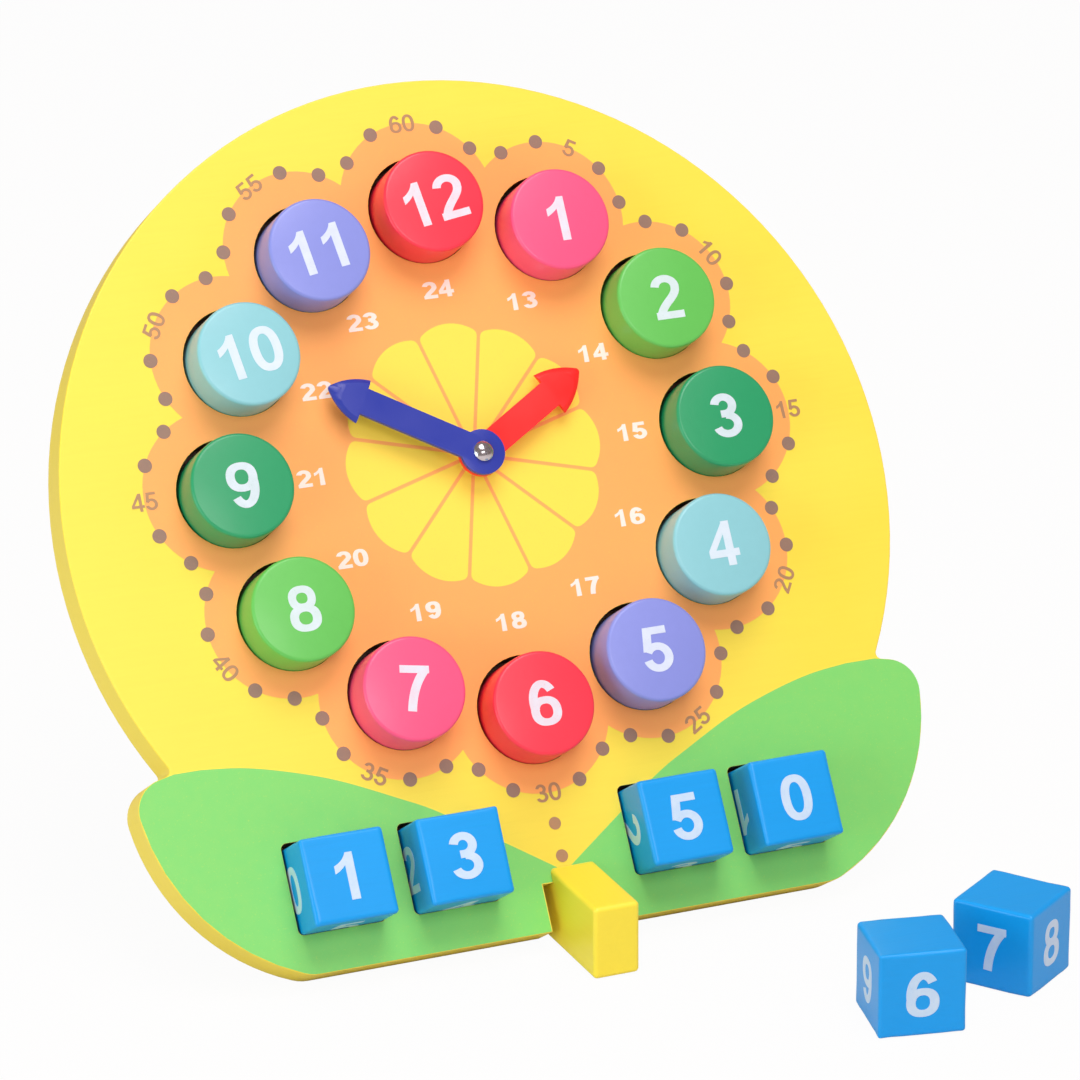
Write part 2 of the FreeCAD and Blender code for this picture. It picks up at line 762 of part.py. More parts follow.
def main():
    os.makedirs("parts", exist_ok=True)
    pieces = table_pieces()
    for name, shape in board_pieces().items():
        pieces[name] = shape.transformed(board_place.toMatrix())
    for name, shape in pieces.items():
        shape.exportStep("parts/%s.step" % name)
        box = shape.BoundBox
        print("%-16s solids %d valid %s volume %.1f z %.2f to %.2f"
              % (name, len(shape.Solids), shape.isValid(), shape.Volume, box.ZMin, box.ZMax))


main()
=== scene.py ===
import json
import math
import bpy
import bmesh
from mathutils import Matrix, Vector, noise
from mathutils.geometry import delaunay_2d_cdt, interpolate_bezier


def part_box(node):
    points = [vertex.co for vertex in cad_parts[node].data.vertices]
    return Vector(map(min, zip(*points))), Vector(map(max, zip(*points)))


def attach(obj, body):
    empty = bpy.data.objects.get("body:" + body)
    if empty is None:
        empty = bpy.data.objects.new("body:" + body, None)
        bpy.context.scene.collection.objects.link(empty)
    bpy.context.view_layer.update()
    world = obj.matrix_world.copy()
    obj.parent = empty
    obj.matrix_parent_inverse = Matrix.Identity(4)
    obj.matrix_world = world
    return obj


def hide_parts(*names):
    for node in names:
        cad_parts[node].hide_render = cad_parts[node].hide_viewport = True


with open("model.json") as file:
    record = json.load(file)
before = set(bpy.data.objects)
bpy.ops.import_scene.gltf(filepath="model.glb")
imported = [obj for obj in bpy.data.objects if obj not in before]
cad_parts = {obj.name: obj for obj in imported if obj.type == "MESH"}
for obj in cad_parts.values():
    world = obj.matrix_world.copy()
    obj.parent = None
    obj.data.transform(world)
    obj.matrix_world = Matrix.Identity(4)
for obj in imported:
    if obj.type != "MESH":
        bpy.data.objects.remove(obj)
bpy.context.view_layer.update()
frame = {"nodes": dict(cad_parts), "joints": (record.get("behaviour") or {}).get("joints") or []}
print("frame loaded with", len(frame["nodes"]), "nodes")


# Places. The board has its own axes: x to the right, y up the board, z out of its face,
# in millimetres from the centre of the printed dial. The bore is drilled a little below it.

drilledDrop = 1.2
millimetre = 0.001
hourStep = 30       # degrees of the dial to one hour
minuteStep = 6      # degrees of the dial to one minute


def turned(degrees):
    return Matrix.Rotation(math.radians(degrees), 4, "Z")


def moved(x, y, z=0.0):
    return Matrix.Translation((x, y, z))


def axesMatrix(right, up, out):
    return Matrix((right, up, out)).transposed().to_4x4()


def boardPlacement():
    boreJoint = next(joint for joint in frame["joints"] if joint["name"] == "minute_hand_turn")
    outward = -Vector(boreJoint["axis"])
    rightward = Vector((1, 0, 0))
    turn = axesMatrix(rightward, outward.cross(rightward), outward)
    return moved(*boreJoint["pos_m"]) @ turn @ Matrix.Scale(millimetre, 4) @ moved(0, drilledDrop)


board = boardPlacement()
intoBoard = board.inverted()


def nodeCentre(node):
    low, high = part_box(node)
    return (low + high) / 2


def linear(red, green, blue):
    # a screen colour, 0 to 255, as the linear colour that shaders take
    shares = [value / 255 for value in (red, green, blue)]
    return tuple(s / 12.92 if s <= 0.04045 else ((s + 0.055) / 1.055) ** 2.4 for s in shares) + (1.0,)


def newObject(name, data):
    item = bpy.data.objects.new(name, data)
    bpy.context.scene.collection.objects.link(item)
    return item


def finishedMesh(holder):
    # the plain mesh that an object's modifiers give
    view = bpy.context.evaluated_depsgraph_get()
    mesh = bpy.data.meshes.new_from_object(holder.evaluated_get(view))
    bpy.data.objects.remove(holder)
    return mesh


# Node helpers, for shader and geometry trees

def addNode(tree, kind, inputs=(), **settings):
    node = tree.nodes.new(kind)
    for name, value in settings.items():
        setattr(node, name, value)
    for key, value in dict(inputs).items():
        if isinstance(value, bpy.types.NodeSocket):
            tree.links.new(value, node.inputs[key])
        else:
            node.inputs[key].default_value = value
    return node


def addSockets(tree, side, kinds):
    identifiers = {}
    for label, kind in kinds.items():
        socket = tree.interface.new_socket(name=label, in_out=side, socket_type=f"NodeSocket{kind}")
        identifiers[label] = socket.identifier
    return identifiers


def feed(tree, node, sockets):
    for label, socket in sockets.items():
        tree.links.new(socket, node.inputs[label])


def made(tree, kind, inputs=(), output=0, **settings):
    # one output of a new node
    return addNode(tree, kind, inputs, **settings).outputs[output]


def maths(tree, operation, *values, **settings):
    return made(tree, "ShaderNodeMath", enumerate(values), operation=operation, **settings)


def vectorMaths(tree, operation, inputs, output=0):
    return made(tree, "ShaderNodeVectorMath", inputs, output, operation=operation)


def ranged(tree, value, low, high, start=0.0, end=1.0):
    return made(tree, "ShaderNodeMapRange", {0: value, 1: start, 2: end, 3: low, 4: high})


def mixed(tree, share, first, second):
    return made(tree, "ShaderNodeMix", {0: share, 6: first, 7: second}, 2, data_type="RGBA")


def scaled(tree, colour, amount):
    return vectorMaths(tree, "SCALE", {0: colour, 3: amount})


def objectPlace(tree):
    return made(tree, "ShaderNodeTexCoord", output="Object")


def noiseOver(tree, place, scale, detail):
    return made(tree, "ShaderNodeTexNoise", {"Vector": place, "Scale": scale, "Detail": detail}, "Fac")


# Shader node groups. Each noise is given as its scale and detail.

def newGroup(name, inputs):
    tree = bpy.data.node_groups.new(name, "ShaderNodeTree")
    addSockets(tree, "INPUT", inputs)
    return tree, tree.nodes.new("NodeGroupInput").outputs


def closeGroup(tree, results):
    # a result named Colour is put out as a colour, any other as a number
    addSockets(tree, "OUTPUT", {label: "Color" if label == "Colour" else "Float" for label in results})
    feed(tree, tree.nodes.new("NodeGroupOutput"), results)
    return tree


woodTexture = {"grain": (1.0, 4.0), "drift": (22.0, 2.0), "peel": (1400.0, 2.0), "peelShare": 0.35,
               "poreStart": 0.3, "poreEnd": 0.48, "glossShare": 0.35}


def paintedWoodGroup():
    # sprayed paint on fine-grained wood: slow colour drift, faint grain, pores and a fine orange peel
    values = woodTexture
    tree, given = newGroup("paintedWood", {"Paint": "Color", "Stretch": "Vector", "Drift": "Float",
                                           "Grain": "Float", "Roughness": "Float"})
    place = objectPlace(tree)
    along = vectorMaths(tree, "MULTIPLY", {0: place, 1: given["Stretch"]})
    grain = noiseOver(tree, along, *values["grain"])
    peel = noiseOver(tree, place, *values["peel"])
    driftStep = maths(tree, "SUBTRACT", noiseOver(tree, place, *values["drift"]), 0.5)
    driftPart = maths(tree, "MULTIPLY", driftStep, given["Drift"])
    grainPart = maths(tree, "MULTIPLY", maths(tree, "SUBTRACT", grain, 0.5), given["Grain"])
    tone = maths(tree, "ADD", maths(tree, "ADD", driftPart, grainPart), 1.0)
    pores = ranged(tree, grain, -1.0, 0.0, values["poreStart"], values["poreEnd"])
    return closeGroup(tree, {
        "Colour": scaled(tree, given["Paint"], tone),
        "Roughness": maths(tree, "MULTIPLY_ADD", driftStep, values["glossShare"], given["Roughness"]),
        "Height": maths(tree, "MULTIPLY_ADD", peel, values["peelShare"], pores)})


edgeTexture = {"samples": 6, "patchDetail": 3.0}


def edgeRubGroup():
    # a mask of outer edges, broken up, where the paint is lightened: partly paint thinned and polished by
    # handling, partly a painted highlight along the rounded edges
    tree, given = newGroup("edgeWearAndHighlight", {"Reach": "Float", "Break Up": "Float", "Gain": "Float"})
    soft = made(tree, "ShaderNodeBevel", {"Radius": given["Reach"]}, samples=edgeTexture["samples"])
    plain = made(tree, "ShaderNodeNewGeometry", output="Normal")
    agree = vectorMaths(tree, "DOT_PRODUCT", {0: soft, 1: plain}, "Value")
    turn = maths(tree, "SUBTRACT", 1.0, agree)
    patch = noiseOver(tree, objectPlace(tree), given["Break Up"], edgeTexture["patchDetail"])
    amount = maths(tree, "MULTIPLY", turn, given["Gain"])
    return closeGroup(tree, {"Mask": maths(tree, "MULTIPLY", amount, patch, use_clamp=True)})


inkTexture = {"mottle": (260.0, 3.0), "pinholes": (1900.0, 1.0), "holeStart": 0.66, "holeEnd": 0.74,
              "holeShow": 0.12}


def screenPrintGroup():
    # thin opaque ink: slight mottling and a few pinholes
    values = inkTexture
    tree, given = newGroup("screenPrint", {"Ink": "Color", "Ground": "Color", "Thinness": "Float"})
    place = objectPlace(tree)
    mottle = noiseOver(tree, place, *values["mottle"])
    pinholes = noiseOver(tree, place, *values["pinholes"])
    holes = ranged(tree, pinholes, 0.0, values["holeShow"], values["holeStart"], values["holeEnd"])
    thin = maths(tree, "MULTIPLY_ADD", mottle, given["Thinness"], holes, use_clamp=True)
    return closeGroup(tree, {"Colour": mixed(tree, thin, given["Ink"], given["Ground"]),
                             "Height": maths(tree, "SUBTRACT", mottle, holes)})


mouldTexture = {"flow": (90.0, 2.0), "sparkDetail": 2.0, "flowRelief": 1.5, "glossShare": 0.3}


def mouldedPlasticGroup():
    # injection-moulded plastic: fine sparked texture and slow sink marks
    values = mouldTexture
    tree, given = newGroup("mouldedPlastic", {"Colour": "Color", "Roughness": "Float",
                                              "Spark Scale": "Float", "Drift": "Float"})
    place = objectPlace(tree)
    spark = noiseOver(tree, place, given["Spark Scale"], values["sparkDetail"])
    flow = noiseOver(tree, place, *values["flow"])
    step = maths(tree, "SUBTRACT", flow, 0.5)
    tone = maths(tree, "MULTIPLY_ADD", step, given["Drift"], 1.0)
    return closeGroup(tree, {
        "Colour": scaled(tree, given["Colour"], tone),
        "Roughness": maths(tree, "MULTIPLY_ADD", step, values["glossShare"], given["Roughness"]),
        "Height": maths(tree, "MULTIPLY_ADD", flow, values["flowRelief"], spark)})


groups = {"paintedWood": paintedWoodGroup(), "edgeWearAndHighlight": edgeRubGroup(), "screenPrint": screenPrintGroup(),
          "mouldedPlastic": mouldedPlasticGroup()}
print("shader groups built:", len(groups))


# Materials

def newMaterial(name, **shaderValues):
    material = bpy.data.materials.new(name)
    material.use_nodes = True
    tree = material.node_tree
    shader = tree.nodes["Principled BSDF"]
    for label, value in shaderValues.items():
        shader.inputs[label.replace("_", " ")].default_value = value
    return material, tree, shader


def placeGroup(tree, name, inputs):
    return addNode(tree, "ShaderNodeGroup", inputs, node_tree=groups[name]).outputs


def bumpInto(tree, shader, height, finish):
    bump = made(tree, "ShaderNodeBump", {"Strength": finish["bumpStrength"],
                                         "Distance": finish["bumpDepth"], "Height": height})
    feed(tree, shader, {"Normal": bump})


paintFinish = {"roughness": 0.40, "coatRoughness": 0.20, "bumpStrength": 0.35, "bumpDepth": 0.00005,
               "wearAndHighlightLighten": 0.35, "wearAndHighlightBreakUp": 180.0, "wearAndHighlightGain": 3.0}


def paintMaterial(name, paint, edge=None, stretch=(60, 900, 900), drift=0.05, grain=0.05, reach=0.0012,
                  coat=0.1, specular=0.5):
    values = paintFinish
    material, tree, shader = newMaterial(name, Coat_Weight=coat, Coat_Roughness=values["coatRoughness"],
                                         Specular_IOR_Level=specular)
    wood = placeGroup(tree, "paintedWood", {"Paint": paint, "Stretch": stretch, "Drift": drift,
                                            "Grain": grain, "Roughness": values["roughness"]})
    # outer edges are lightened towards the edge colour: partly wear, partly a painted highlight
    wearAndHighlight = placeGroup(tree, "edgeWearAndHighlight", {"Reach": reach, "Break Up": values["wearAndHighlightBreakUp"],
                                       "Gain": values["wearAndHighlightGain"]})
    share = maths(tree, "MULTIPLY", wearAndHighlight["Mask"], values["wearAndHighlightLighten"])
    feed(tree, shader, {"Base Color": mixed(tree, share, wood["Colour"], edge or paint),
                        "Roughness": wood["Roughness"]})
    bumpInto(tree, shader, wood["Height"], values)
    return material


# each edge colour is the paler tone mixed in along outer edges, partly wear and partly a painted highlight
boardPaint = {"paint": linear(244, 227, 70), "edge": linear(247, 242, 142), "stretch": (45, 700, 700)}
# brown painted shade for the recess walls and floors, mottled from darkest to lightest, masked to the dial
# and the cube row below the face
paintedRecessShade = {"colour": linear(96, 62, 30), "shadeMottle": (900.0, 3.0), "darkest": 0.7, "lightest": 1.3,
              "faceDepth": -0.35, "dialReach": 125.0, "rowHeight": -132.2, "rowHalf": 17.5,
              "rowStart": 18.0, "rowEnd": 97.0}


def boardMaterial():
    # yellow paint, and a brown painted shade below the face at the dial and the cube row, back included:
    # the walls and floors of the recesses are darkened to stand in for the shade in them
    values = paintedRecessShade
    material = paintMaterial("yellowPaintAndRecessShade", **boardPaint)
    tree = material.node_tree
    shader = tree.nodes["Principled BSDF"]
    painted = shader.inputs["Base Color"].links[0].from_socket
    place = objectPlace(tree)
    perMetre = 1 / millimetre
    toBoard = made(tree, "ShaderNodeMapping", {
        "Vector": place, "Location": intoBoard.to_translation(), "Rotation": intoBoard.to_euler(),
        "Scale": (perMetre, perMetre, perMetre)})
    x, y, z = addNode(tree, "ShaderNodeSeparateXYZ", {0: toBoard}).outputs
    deep = maths(tree, "LESS_THAN", z, values["faceDepth"])
    reach = vectorMaths(tree, "LENGTH", {0: made(tree, "ShaderNodeCombineXYZ", {0: x, 1: y})}, "Value")
    inDial = maths(tree, "LESS_THAN", reach, values["dialReach"])
    rise = maths(tree, "COMPARE", y, values["rowHeight"], values["rowHalf"])
    rowMiddle = (values["rowStart"] + values["rowEnd"]) / 2
    aside = maths(tree, "COMPARE", maths(tree, "ABSOLUTE", x), rowMiddle, values["rowEnd"] - rowMiddle)
    inRow = maths(tree, "MULTIPLY", rise, aside)
    # painted shade: where this mask is set, the recesses take the darker brown in place of the yellow
    recessShade = maths(tree, "MULTIPLY", maths(tree, "MAXIMUM", inDial, inRow), deep)
    shadeMottle = ranged(tree, noiseOver(tree, place, *values["shadeMottle"]), values["darkest"], values["lightest"])
    recessShadeColour = scaled(tree, values["colour"][:3], shadeMottle)
    feed(tree, shader, {"Base Color": mixed(tree, recessShade, painted, recessShadeColour)})
    return material


printFinish = {"roughness": 0.45, "bumpStrength": 0.25, "bumpDepth": 0.00004}


def printMaterial(name, ink, ground, thinness):
    material, tree, shader = newMaterial(name, Roughness=printFinish["roughness"])
    film = placeGroup(tree, "screenPrint", {"Ink": ink, "Ground": ground, "Thinness": thinness})
    feed(tree, shader, {"Base Color": film["Colour"]})
    bumpInto(tree, shader, film["Height"], printFinish)
    return material


plasticFinish = {"sparkScale": 2600.0, "drift": 0.04, "bumpStrength": 0.35, "bumpDepth": 0.00003}


def plasticMaterial(name, colour, roughness):
    material, tree, shader = newMaterial(name)
    moulded = placeGroup(tree, "mouldedPlastic", {
        "Colour": colour, "Roughness": roughness, "Spark Scale": plasticFinish["sparkScale"],
        "Drift": plasticFinish["drift"]})
    feed(tree, shader, {"Base Color": moulded["Colour"], "Roughness": moulded["Roughness"]})
    bumpInto(tree, shader, moulded["Height"], plasticFinish)
    return material


platedFinish = {"marks": (1500.0, 3.0), "smoothest": 0.12, "roughest": 0.28,
                "dull": linear(196, 198, 204), "bright": linear(232, 232, 234),
                "bumpStrength": 0.12, "bumpDepth": 0.00003}


def platedMaterial(name):
    # bright nickel plate with fine drag marks
    values = platedFinish
    material, tree, shader = newMaterial(name, Metallic=1.0)
    marks = noiseOver(tree, objectPlace(tree), *values["marks"])
    feed(tree, shader, {"Base Color": mixed(tree, marks, values["dull"], values["bright"]),
                        "Roughness": ranged(tree, marks, values["smoothest"], values["roughest"])})
    bumpInto(tree, shader, marks, values)
    return material


# the edge colours here are paler tones for the outer edges, partly wear and partly a painted highlight
footPaint = {"paint": linear(247, 232, 62), "edge": linear(248, 240, 140), "stretch": (900, 60, 900)}
cubePaint = {"paint": linear(0, 158, 237), "edge": linear(110, 196, 252), "drift": 0.08, "grain": 0.06,
             "reach": 0.0016, "coat": 0.2, "specular": 0.3}
flowerOrange = linear(255, 173, 92)
inkValues = {      # ink, the ground under it and how thin it lies
    "orangeFlowerInk": (flowerOrange, boardPaint["paint"], 0.06),
    "yellowDaisyInk": (linear(255, 229, 75), flowerOrange, 0.06),
    "greenLeafInk": (linear(118, 217, 109), boardPaint["paint"], 0.06),
    "greyFigureInk": (linear(163, 132, 97), flowerOrange, 0.2),
    "greyDotInk": (linear(138, 116, 103), flowerOrange, 0.1),
    "whiteDayInk": (linear(252, 240, 230), flowerOrange, 0.09),
    "whiteCubeInk": (linear(206, 230, 244), cubePaint["paint"], 0.3)}
plasticValues = {      # colour and roughness
    "whiteHousingPlastic": (linear(238, 237, 232), 0.45),
    "creamGearPlastic": (linear(240, 232, 206), 0.38),
    "redHandPlastic": (linear(250, 37, 35), 0.36),
    "blueHandPlastic": (linear(36, 56, 164), 0.36)}

yellowBoard = boardMaterial()
yellowFoot = paintMaterial("yellowFootPaint", **footPaint)
cubeBlue = paintMaterial("blueCubePaint", **cubePaint)
inks = {name: printMaterial(name, *values) for name, values in inkValues.items()}
plastics = {name: plasticMaterial(name, *values) for name, values in plasticValues.items()}
platedSteel = platedMaterial("brightPlatedSteel")
print("materials built:", len(bpy.data.materials))

solidFinishes = [(yellowBoard, ("face_board", "back_board")),
                 (yellowFoot, ("foot",)),
                 (plastics["whiteHousingPlastic"], ("centre_bush", "gearbox_base", "gearbox_cover")),
                 (plastics["creamGearPlastic"], ("minute_arbor", "minute_wheel", "hour_wheel")),
                 (platedSteel, ("gearbox_screws", "wheel_stud", "friction_washer", "hand_screw"))]
for finish, nodes in solidFinishes:
    for node in nodes:
        frame["nodes"][node].data.materials.clear()
        frame["nodes"][node].data.materials.append(finish)


# Mesh helpers

outlineWeld = 1e-6   # for flat outlines
fineWeld = 1e-5      # for figures one unit tall and for the hands
weld = 1e-4          # for blocks, in millimetres
quarterSteps = 12    # points to a quarter turn of an arc, and to a curve


def meshFrom(build, name):
    # the mesh with its faces turned outwards
    bmesh.ops.recalc_face_normals(build, faces=build.faces)
    mesh = bpy.data.meshes.new(name)
    build.to_mesh(mesh)
    build.free()
    return mesh


def addLoops(build, *levels):
    # points along each outline, at its height
    return [[build.verts.new((x, y, height)) for x, y in outline] for outline, height in levels]


def joinLoops(build, first, second):
    # a band of faces between two loops with as many points
    count = len(first)
    for i in range(count):
        j = (i + 1) % count
        build.faces.new((first[i], first[j], second[j], second[i]))


def addPrism(build, outline, low=0.0, high=1.0):
    # a closed upright prism over an outline that runs anticlockwise
    lower, upper = addLoops(build, (outline, low), (outline, high))
    build.faces.new(upper)
    build.faces.new(lower[::-1])
    joinLoops(build, lower, upper)


def slab(outline):
    build = bmesh.new()
    addPrism(build, outline)
    return build


def unite(builds, name):
    # exact union of closed meshes
    parts = [newObject(f"{name}Part", meshFrom(build, f"{name}Part")) for build in builds]
    for other in parts[1:]:
        join = parts[0].modifiers.new("join", "BOOLEAN")
        join.operation = "UNION"
        join.solver = "EXACT"
        join.object = other
    mesh = finishedMesh(parts[0])
    for other in parts[1:]:
        bpy.data.objects.remove(other)
    clean = bmesh.new()
    clean.from_mesh(mesh)
    bmesh.ops.remove_doubles(clean, verts=clean.verts, dist=fineWeld)
    bmesh.ops.dissolve_degenerate(clean, dist=fineWeld, edges=clean.edges)
    bmesh.ops.triangulate(clean, faces=clean.faces)
    clean.to_mesh(mesh)
    clean.free()
    return mesh


def addPiece(name, mesh, place, material, body, smoothAngle=35):
    mesh.transform(place)
    mesh.materials.clear()
    mesh.materials.append(material)
    mesh.shade_smooth()
    mesh.set_sharp_from_angle(angle=math.radians(smoothAngle))
    piece = newObject(name, mesh)
    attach(piece, body)
    return piece


def arc(cx, cy, rx, ry, start, end):
    steps = max(2, round(quarterSteps * abs(end - start) / 90))
    angles = [math.radians(start + (end - start) * i / steps) for i in range(steps + 1)]
    return [(cx + rx * math.cos(a), cy + ry * math.sin(a)) for a in angles]


def circle(cx, cy, radius, steps=72):
    angles = [math.tau * i / steps for i in range(steps)]
    return [(cx + radius * math.cos(a), cy + radius * math.sin(a)) for a in angles]


def sweep(*controls):
    corners = [Vector((x, y, 0)) for x, y in controls]
    return [(point.x, point.y) for point in interpolate_bezier(*corners, quarterSteps)]


def reachAlong(start, along, radius):
    # how far on from a start inside it a circle about the origin lies
    ahead = start.dot(along)
    return -ahead + math.sqrt(ahead ** 2 - start.dot(start) + radius ** 2)


# Figures: plain numerals one unit tall, each made once from strokes and then copied

figure = {"widen": 1.2, "halfWidth": 0.2917, "advance": 0.776, "squareness": 2.3, "ovalStep": 6,
          "mitreLimit": 0.35}
strokeWidths = {"plain": 0.165, "thin": 0.148, "bold": 0.2}


def oval(cy, rx, ry):
    power = 2 / figure["squareness"]
    points = []
    for angle in range(0, 360, figure["ovalStep"]):
        c, s = math.cos(math.radians(angle)), math.sin(math.radians(angle))
        points.append((rx * math.copysign(abs(c) ** power, c), cy + ry * math.copysign(abs(s) ** power, s)))
    return points


def strokeOutline(line, width):
    # both sides of a line of points, mitred at its corners
    points = [Vector(p) for p in line]
    left, right = [], []
    for i, point in enumerate(points):
        after = (points[i + 1] - point).normalized() if i < len(points) - 1 else None
        before = (point - points[i - 1]).normalized() if i else after
        after = after or before
        middle = (before + after).normalized()
        side = Vector((-middle.y, middle.x)) * (width / 2 / max(figure["mitreLimit"], middle.dot(after)))
        left.append(tuple(point + side))
        right.append(tuple(point - side))
    return right + left[::-1]


def widened(outline):
    return [(x * figure["widen"], y) for x, y in outline]


def ringStroke(cy, rx, ry, wallX, wallY):
    # a closed upright wall between two ovals
    outer, inner = widened(oval(cy, rx, ry)), widened(oval(cy, rx - wallX, ry - wallY))
    build = bmesh.new()
    loops = addLoops(build, (outer, 0.0), (outer, 1.0), (inner, 1.0), (inner, 0.0))
    for first, second in zip(loops, loops[1:] + loops[:1]):
        joinLoops(build, first, second)
    return build


def figureMeshes(w):
    # w is the width of the strokes
    def stroke(line):
        return slab(widened(strokeOutline(line, w)))

    half = figure["halfWidth"]
    mid, rim = half - w / 2, w / 2          # centre line of the widest stroke, and half a stroke
    flag = sweep((-0.29, 0.745), (-0.17, 0.79), (-0.055, 0.87), (-0.005, 1.0))
    flagUnder = sweep((-0.045, 0.735), (-0.11, 0.67), (-0.20, 0.61), (-0.29, 0.575))
    stem = [(0.15 - 1.18 * w, 0.0), (0.15, 0.0), (0.15, 1.0)]
    shoulder = arc(0, 0.715, mid - 0.01, 0.285 - rim, 172, 0)
    post = 0.233 - 1.13 * w
    parts = {
        "zero": [ringStroke(0.5, half, 0.5, w, w)],
        "one": [slab(stem + flag[::-1] + flagUnder[::-1])],
        "two": [stroke(shoulder + sweep((0.198, 0.70), (0.198, 0.47), (-0.13, 0.36), (-0.185, 0.05))[1:]),
                stroke([(-half + 0.02, rim), (half - 0.01, rim)])],
        "three": [stroke(arc(-0.01, 0.728, 0.175, 0.272 - rim, 168, -90) + [(-0.09, 0.456 + rim)]),
                  stroke(arc(-0.005, 0.293, mid, 0.293 - rim, 90, -165))],
        "four": [slab([(post, 0.0), (0.233, 0.0), (0.233, 1.0), (post, 1.0)]),
                 slab([(-0.36, 0.201), (0.357, 0.201), (0.357, 0.201 + w), (-0.36, 0.201 + w)]),
                 slab([(-0.362, 0.25), (-0.362 + 0.6 * w, 0.25), (0.14, 0.85), (0.14, 0.998),
                       (0.072, 0.998), (-0.362, 0.201 + w)])],
        "five": [stroke([(0.235, 1 - rim), (-0.135, 1 - rim), (-0.19, 0.46)]),
                 stroke(arc(-0.01, 0.325, mid, 0.325 - rim, 150, -168))],
        "six": [ringStroke(0.32, half, 0.32, w, w * 0.95),
                stroke(arc(0, 0.5, mid, 0.5 - rim, 200, 38))],
        "seven": [stroke([(-0.275, 1 - rim), (0.275, 1 - rim)]),
                  stroke(sweep((0.215, 0.93), (0.05, 0.70), (-0.05, 0.38), (-0.065, 0.0)))],
        "eight": [ringStroke(0.7275, 0.255, 0.2725, 0.91 * w, 0.94 * w),
                  ringStroke(0.2925, half, 0.2925, w, 0.92 * w)]}
    shapes = {str(digit): unite(builds, name) for digit, (name, builds) in enumerate(parts.items())}
    shapes["9"] = shapes["6"].copy()
    shapes["9"].transform(moved(0, 1) @ turned(180))
    return shapes


figures = {weight: figureMeshes(width) for weight, width in strokeWidths.items()}
print("figures built in", len(figures), "weights")


def addNumber(build, text, place, style):
    # a number centred on its place, as ink from the style's low to its high above the place
    height, low, high, widen = (style[key] for key in ("height", "low", "high", "widen"))
    width = figure["advance"] * height * widen
    for position, digit in enumerate(text):
        x = (position - (len(text) - 1) / 2) * width
        mesh = figures[style["weight"]][digit].copy()
        mesh.transform(place @ moved(x, -height / 2, low)
                       @ Matrix.Diagonal((height * widen, height, high - low, 1)))
        build.from_mesh(mesh)
        bpy.data.meshes.remove(mesh)


# Geometry Nodes: dots along the minute track and petals about the centre

def newGeometryTree(name, inputs):
    tree = bpy.data.node_groups.new(name, "GeometryNodeTree")
    identifiers = addSockets(tree, "INPUT", {"Geometry": "Geometry", **inputs})
    addSockets(tree, "OUTPUT", {"Geometry": "Geometry"})
    return tree, tree.nodes.new("NodeGroupInput").outputs, identifiers


def closeTree(tree, copies, material):
    # puts copies on points, makes them real and gives them their material
    instances = made(tree, "GeometryNodeInstanceOnPoints", copies)
    real = made(tree, "GeometryNodeRealizeInstances", {0: instances})
    painted = made(tree, "GeometryNodeSetMaterial", {0: real, "Material": material})
    feed(tree, tree.nodes.new("NodeGroupOutput"), {0: painted})


def grownMesh(name, seedMesh, grower, values):
    # runs a geometry tree on a mesh and returns its plain result
    tree, identifiers = grower
    holder = newObject(name, seedMesh)
    modifier = holder.modifiers.new(name, "NODES")
    modifier.node_group = tree
    for label, value in values.items():
        modifier[identifiers[label]] = value
    return finishedMesh(holder)


def minuteDotTree():
    # four dots to each hour, two near its number on the outer ring and two between on the inner ring
    tree, given, identifiers = newGeometryTree("minuteDots", {
        "Hours": "Int", "Outer Ring": "Float", "Inner Ring": "Float", "Dot Radius": "Float",
        "Dot Sides": "Int", "Thickness": "Float", "Level": "Float", "Material": "Material"})
    count = maths(tree, "MULTIPLY", given["Hours"], 4.0)
    line = made(tree, "GeometryNodeMeshLine", {"Count": count}, mode="OFFSET")
    index = made(tree, "GeometryNodeInputIndex")
    hour = maths(tree, "FLOOR", maths(tree, "DIVIDE", index, 4.0))
    member = maths(tree, "MULTIPLY_ADD", hour, -4.0, index)
    late = maths(tree, "GREATER_THAN", member, 1.5)
    minute = maths(tree, "ADD", maths(tree, "ADD", member, -2.0), late)      # -2, -1, 1 and 2
    isFar = maths(tree, "GREATER_THAN", maths(tree, "ABSOLUTE", minute), 1.5)
    ring = made(tree, "ShaderNodeMix", {0: isFar, 2: given["Outer Ring"], 3: given["Inner Ring"]})
    minutes = maths(tree, "MULTIPLY_ADD", hour, 5.0, minute)
    angle = maths(tree, "MULTIPLY", minutes, math.radians(minuteStep))
    x = maths(tree, "MULTIPLY", maths(tree, "SINE", angle), ring)
    y = maths(tree, "MULTIPLY", maths(tree, "COSINE", angle), ring)
    spot = made(tree, "ShaderNodeCombineXYZ", {0: x, 1: y, 2: given["Level"]})
    placed = made(tree, "GeometryNodeSetPosition", {"Geometry": line, "Position": spot})
    dot = made(tree, "GeometryNodeMeshCylinder", {
        "Vertices": given["Dot Sides"], "Radius": given["Dot Radius"], "Depth": given["Thickness"]})
    closeTree(tree, {"Points": placed, "Instance": dot}, given["Material"])
    return tree, identifiers


def petalTree():
    # copies the petal that it is given about the centre
    tree, given, identifiers = newGeometryTree("petalsRound", {"Petals": "Int", "Material": "Material"})
    home = (0, 0, 0)
    line = made(tree, "GeometryNodeMeshLine", {"Count": given["Petals"], "Offset": home}, mode="OFFSET")
    step = maths(tree, "DIVIDE", math.tau, given["Petals"])
    angle = maths(tree, "MULTIPLY", made(tree, "GeometryNodeInputIndex"), step)
    turn = made(tree, "ShaderNodeCombineXYZ", {2: angle})
    placed = made(tree, "GeometryNodeSetPosition", {"Geometry": line, "Position": home})
    copies = {"Points": placed, "Instance": given["Geometry"], "Rotation": turn}
    closeTree(tree, copies, given["Material"])
    return tree, identifiers


# Printed layers on the board, each a little proud of the one below, in millimetres

